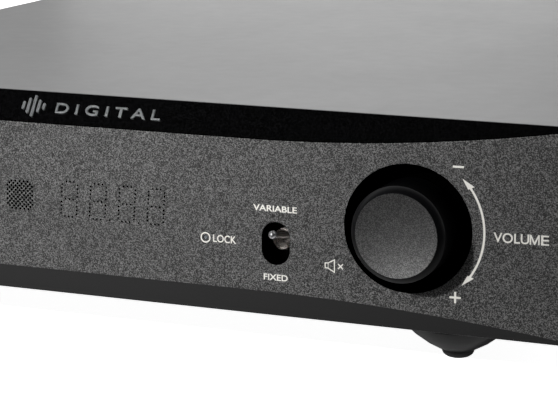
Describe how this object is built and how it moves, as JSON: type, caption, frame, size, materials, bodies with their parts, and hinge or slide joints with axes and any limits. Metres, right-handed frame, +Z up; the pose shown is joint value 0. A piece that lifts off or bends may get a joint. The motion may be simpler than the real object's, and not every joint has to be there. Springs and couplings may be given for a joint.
{
  "type": "desktop dac",
  "caption": "Half-width desktop DAC preamp: bowed black front, recessed push knob, toggle switch, dotted display, grey cover, flared feet and a full rear connector row.",
  "frame": {"origin": "on the standing surface, under the middle of the bounding box", "axes": "+X to the right seen from the front, +Y from the front to the rear, +Z up"},
  "size_m": [0.235, 0.28, 0.0605],
  "materials": {
    "panel_black": "fine sandblasted black anodised, slight sparkle",
    "cover_grey": "satin fine-grained charcoal grey paint",
    "chassis_black": "satin black powder coat",
    "knob_grey": "fine sandblasted dark anodised",
    "steel": "zinc plated",
    "screw_black": "black oxide",
    "chrome_bright": "polished",
    "gold_contact": "gold plated",
    "brass_part": "machined",
    "nickel": "nickel plated",
    "black_plastic": "fine moulded texture",
    "white_plastic": "smooth",
    "smoked_window": "smoked acrylic",
    "clear_light": "clear acrylic light pipe",
    "rubber_black": "matte",
    "foot_black": "turned, black anodised",
    "circuit_green": "solder resist",
    "winding": "polyester tape over copper",
    "capacitor_sleeve": "printed shrink sleeve, plain",
    "heatsink_black": "black anodised extrusion",
    "chip_black": "moulded epoxy",
    "ribbon_grey": "flat cable insulation",
    "wire_red": "insulated wire",
    "wire_brown": "insulated wire",
    "fuse_glass": "clear tube"
  },
  "bodies": {
    "root": {"front_panel": "panel_black", "encoder_bush": "nickel", "encoder_nut": "nickel", "encoder_body": "steel", "toggle_bush": "nickel", "toggle_body": "black_plastic", "display_window": "smoked_window", "display_module": "black_plastic", "ir_receiver": "black_plastic", "lock_light_pipe": "clear_light", "front_board": "circuit_green", "front_board_posts": "brass_part", "front_board_screws": "steel", "panel_brackets": "steel", "panel_screws": "steel", "base_tray": "chassis_black", "top_cover": "cover_grey", "rear_panel": "chassis_black", "cover_screws": "screw_black", "rear_screws": "screw_black", "foot_cones": "foot_black", "foot_pads": "rubber_black", "foot_screws": "steel", "transformer_pads": "rubber_black", "toroidal_transformer": "winding", "transformer_plate": "steel", "transformer_bolt": "steel", "power_board": "circuit_green", "filter_capacitors": "capacitor_sleeve", "regulator_heatsink": "heatsink_black", "bridge_rectifier": "chip_black", "main_board": "circuit_green", "board_posts": "brass_part", "board_screws": "steel", "dac_chip": "chip_black", "digital_chips": "chip_black", "op_amps": "chip_black", "output_relays": "white_plastic", "front_ribbon_cable": "ribbon_grey", "transformer_leads": "wire_red", "mains_leads": "wire_brown", "mains_inlet": "black_plastic", "inlet_pins": "nickel", "power_switch_frame": "black_plastic", "jack_shells": "gold_contact", "jack_insulators": "white_plastic", "xlr_shells": "nickel", "xlr_pins": "gold_contact", "usb_shell": "nickel", "usb_tongue": "white_plastic", "optical_socket": "black_plastic"},
    "knob_push": {"push_plunger": "white_plastic"},
    "knob_spin": {"volume_knob": "knob_grey", "knob_grub_screw": "screw_black", "encoder_shaft": "steel"},
    "output_toggle": {"toggle_lever": "chrome_bright"},
    "mains_rocker": {"power_rocker": "black_plastic"},
    "fuse_tray": {"fuse_drawer": "black_plastic", "fuse": "fuse_glass"},
    "dust_flap": {"optical_shutter": "black_plastic"}
  },
  "joints": [
    {"name": "knob_press", "type": "slide", "parent": "root", "child": "knob_push", "axis": [0, 1, 0], "range_m": [0, 0.0008], "stiffness_N_per_m": 2500},
    {"name": "knob_turn", "type": "hinge", "parent": "knob_push", "child": "knob_spin", "pos_m": [0.0726, -0.13295, 0.0347], "axis": [0, 1, 0], "continuous": true},
    {"name": "toggle_flip", "type": "hinge", "parent": "root", "child": "output_toggle", "pos_m": [0.0401, -0.12395, 0.0286], "axis": [1, 0, 0], "range_deg": [0, 26]},
    {"name": "rocker_tilt", "type": "hinge", "parent": "root", "child": "mains_rocker", "pos_m": [-0.033, 0.12585, 0.035], "axis": [1, 0, 0], "range_deg": [-20, 0]},
    {"name": "fuse_tray_slide", "type": "slide", "parent": "root", "child": "fuse_tray", "axis": [0, 1, 0], "range_m": [0, 0.016]},
    {"name": "dust_flap_swing", "type": "hinge", "parent": "root", "child": "dust_flap", "pos_m": [-0.004, 0.12905, 0.0481], "axis": [-1, 0, 0], "range_deg": [0, 84], "stiffness_Nm_per_rad": 0.0003}
  ]
}
